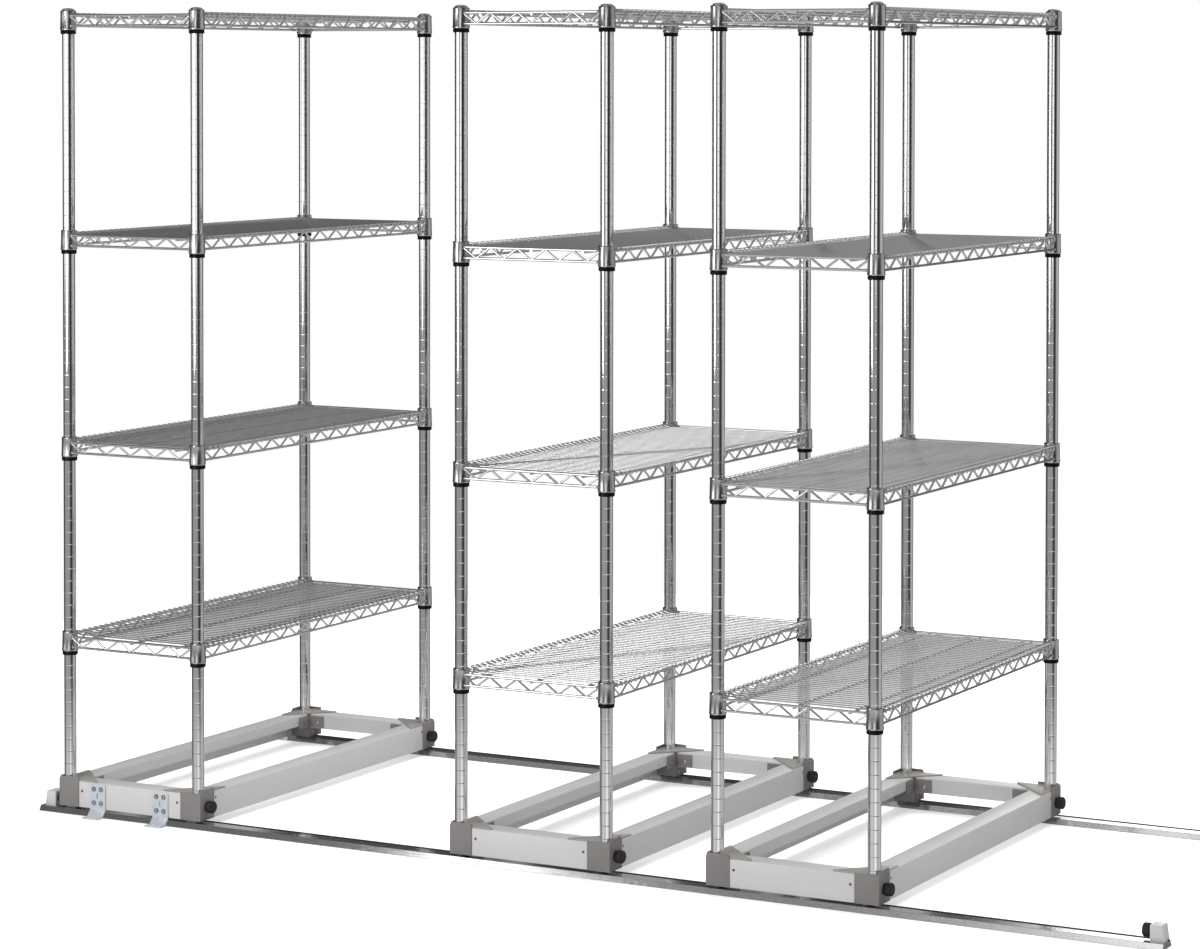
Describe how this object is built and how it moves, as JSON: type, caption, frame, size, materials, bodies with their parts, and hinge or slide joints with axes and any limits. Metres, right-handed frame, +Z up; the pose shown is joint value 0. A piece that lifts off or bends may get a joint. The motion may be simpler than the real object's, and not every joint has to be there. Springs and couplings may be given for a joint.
{
  "type": "compact mobile shelving",
  "caption": "Compact mobile shelving: wire shelving units on channel bases, one anchored and the others rolling along two low floor tracks with end stops.",
  "frame": {"origin": "middle of the object's footprint, at floor level", "axes": "+X along the tracks from the anchored unit to the free end, +Y from the bracket side to the rear, +Z up"},
  "size_m": [2.4764, 0.9496, 1.6797],
  "materials": {
    "chrome_wire": "bright",
    "chrome_post": "bright",
    "casting": "matte",
    "rail": "satin",
    "track": "satin",
    "zinc": "satin",
    "wheel": "matte"
  },
  "bodies": {
    "anchored_unit": {"track_front": "track", "track_rear": "track", "unit_1_bracket_left": "zinc", "unit_1_bracket_right": "zinc", "unit_1_shelf_1": "chrome_wire", "unit_1_shelf_2": "chrome_wire", "unit_1_shelf_3": "chrome_wire", "unit_1_shelf_4": "chrome_wire", "unit_1_post_front_left": "chrome_post", "unit_1_post_front_right": "chrome_post", "unit_1_post_rear_left": "chrome_post", "unit_1_post_rear_right": "chrome_post", "unit_1_casting_front_left": "casting", "unit_1_casting_front_right": "casting", "unit_1_casting_rear_left": "casting", "unit_1_casting_rear_right": "casting", "unit_1_rail_front": "rail", "unit_1_rail_rear": "rail", "unit_1_rail_left": "rail", "unit_1_rail_right": "rail"},
    "middle_carriage": {"unit_2_shelf_1": "chrome_wire", "unit_2_shelf_2": "chrome_wire", "unit_2_shelf_3": "chrome_wire", "unit_2_shelf_4": "chrome_wire", "unit_2_post_front_left": "chrome_post", "unit_2_post_front_right": "chrome_post", "unit_2_post_rear_left": "chrome_post", "unit_2_post_rear_right": "chrome_post", "unit_2_casting_front_left": "casting", "unit_2_casting_front_right": "casting", "unit_2_casting_rear_left": "casting", "unit_2_casting_rear_right": "casting", "unit_2_rail_front": "rail", "unit_2_rail_rear": "rail", "unit_2_rail_left": "rail", "unit_2_rail_right": "rail"},
    "right_carriage": {"unit_3_shelf_1": "chrome_wire", "unit_3_shelf_2": "chrome_wire", "unit_3_shelf_3": "chrome_wire", "unit_3_shelf_4": "chrome_wire", "unit_3_post_front_left": "chrome_post", "unit_3_post_front_right": "chrome_post", "unit_3_post_rear_left": "chrome_post", "unit_3_post_rear_right": "chrome_post", "unit_3_casting_front_left": "casting", "unit_3_casting_front_right": "casting", "unit_3_casting_rear_left": "casting", "unit_3_casting_rear_right": "casting", "unit_3_rail_front": "rail", "unit_3_rail_rear": "rail", "unit_3_rail_left": "rail", "unit_3_rail_right": "rail"},
    "middle_wheel_front_left": {"unit_2_wheel_front_left": "wheel"},
    "middle_wheel_front_right": {"unit_2_wheel_front_right": "wheel"},
    "middle_wheel_rear_left": {"unit_2_wheel_rear_left": "wheel"},
    "middle_wheel_rear_right": {"unit_2_wheel_rear_right": "wheel"},
    "right_wheel_front_left": {"unit_3_wheel_front_left": "wheel"},
    "right_wheel_front_right": {"unit_3_wheel_front_right": "wheel"},
    "right_wheel_rear_left": {"unit_3_wheel_rear_left": "wheel"},
    "right_wheel_rear_right": {"unit_3_wheel_rear_right": "wheel"}
  },
  "joints": [
    {"name": "middle_carriage_slide", "type": "slide", "parent": "anchored_unit", "child": "middle_carriage", "axis": [1, 0, 0], "range_m": [-0.578, 0.189]},
    {"name": "right_carriage_slide", "type": "slide", "parent": "anchored_unit", "child": "right_carriage", "axis": [1, 0, 0], "range_m": [0, 0.487]},
    {"name": "middle_wheel_front_left_spin", "type": "hinge", "parent": "middle_carriage", "child": "middle_wheel_front_left", "pos_m": [-0.2121, -0.4282, 0.0293], "axis": [0, 1, 0], "continuous": true},
    {"name": "middle_wheel_front_right_spin", "type": "hinge", "parent": "middle_carriage", "child": "middle_wheel_front_right", "pos_m": [0.0964, -0.4282, 0.0293], "axis": [0, 1, 0], "continuous": true},
    {"name": "middle_wheel_rear_left_spin", "type": "hinge", "parent": "middle_carriage", "child": "middle_wheel_rear_left", "pos_m": [-0.2121, 0.4508, 0.0293], "axis": [0, 1, 0], "continuous": true},
    {"name": "middle_wheel_rear_right_spin", "type": "hinge", "parent": "middle_carriage", "child": "middle_wheel_rear_right", "pos_m": [0.0964, 0.4508, 0.0293], "axis": [0, 1, 0], "continuous": true},
    {"name": "right_wheel_front_left_spin", "type": "hinge", "parent": "right_carriage", "child": "right_wheel_front_left", "pos_m": [0.3529, -0.4282, 0.0293], "axis": [0, 1, 0], "continuous": true},
    {"name": "right_wheel_front_right_spin", "type": "hinge", "parent": "right_carriage", "child": "right_wheel_front_right", "pos_m": [0.6614, -0.4282, 0.0293], "axis": [0, 1, 0], "continuous": true},
    {"name": "right_wheel_rear_left_spin", "type": "hinge", "parent": "right_carriage", "child": "right_wheel_rear_left", "pos_m": [0.3529, 0.4508, 0.0293], "axis": [0, 1, 0], "continuous": true},
    {"name": "right_wheel_rear_right_spin", "type": "hinge", "parent": "right_carriage", "child": "right_wheel_rear_right", "pos_m": [0.6614, 0.4508, 0.0293], "axis": [0, 1, 0], "continuous": true}
  ],
  "couplings": [
    {"joint": "middle_wheel_front_left_spin", "follows": "middle_carriage_slide", "rad_per_m": 55.556},
    {"joint": "middle_wheel_front_right_spin", "follows": "middle_carriage_slide", "rad_per_m": 55.556},
    {"joint": "middle_wheel_rear_left_spin", "follows": "middle_carriage_slide", "rad_per_m": 55.556},
    {"joint": "middle_wheel_rear_right_spin", "follows": "middle_carriage_slide", "rad_per_m": 55.556},
    {"joint": "right_wheel_front_left_spin", "follows": "right_carriage_slide", "rad_per_m": 55.556},
    {"joint": "right_wheel_front_right_spin", "follows": "right_carriage_slide", "rad_per_m": 55.556},
    {"joint": "right_wheel_rear_left_spin", "follows": "right_carriage_slide", "rad_per_m": 55.556},
    {"joint": "right_wheel_rear_right_spin", "follows": "right_carriage_slide", "rad_per_m": 55.556}
  ]
}
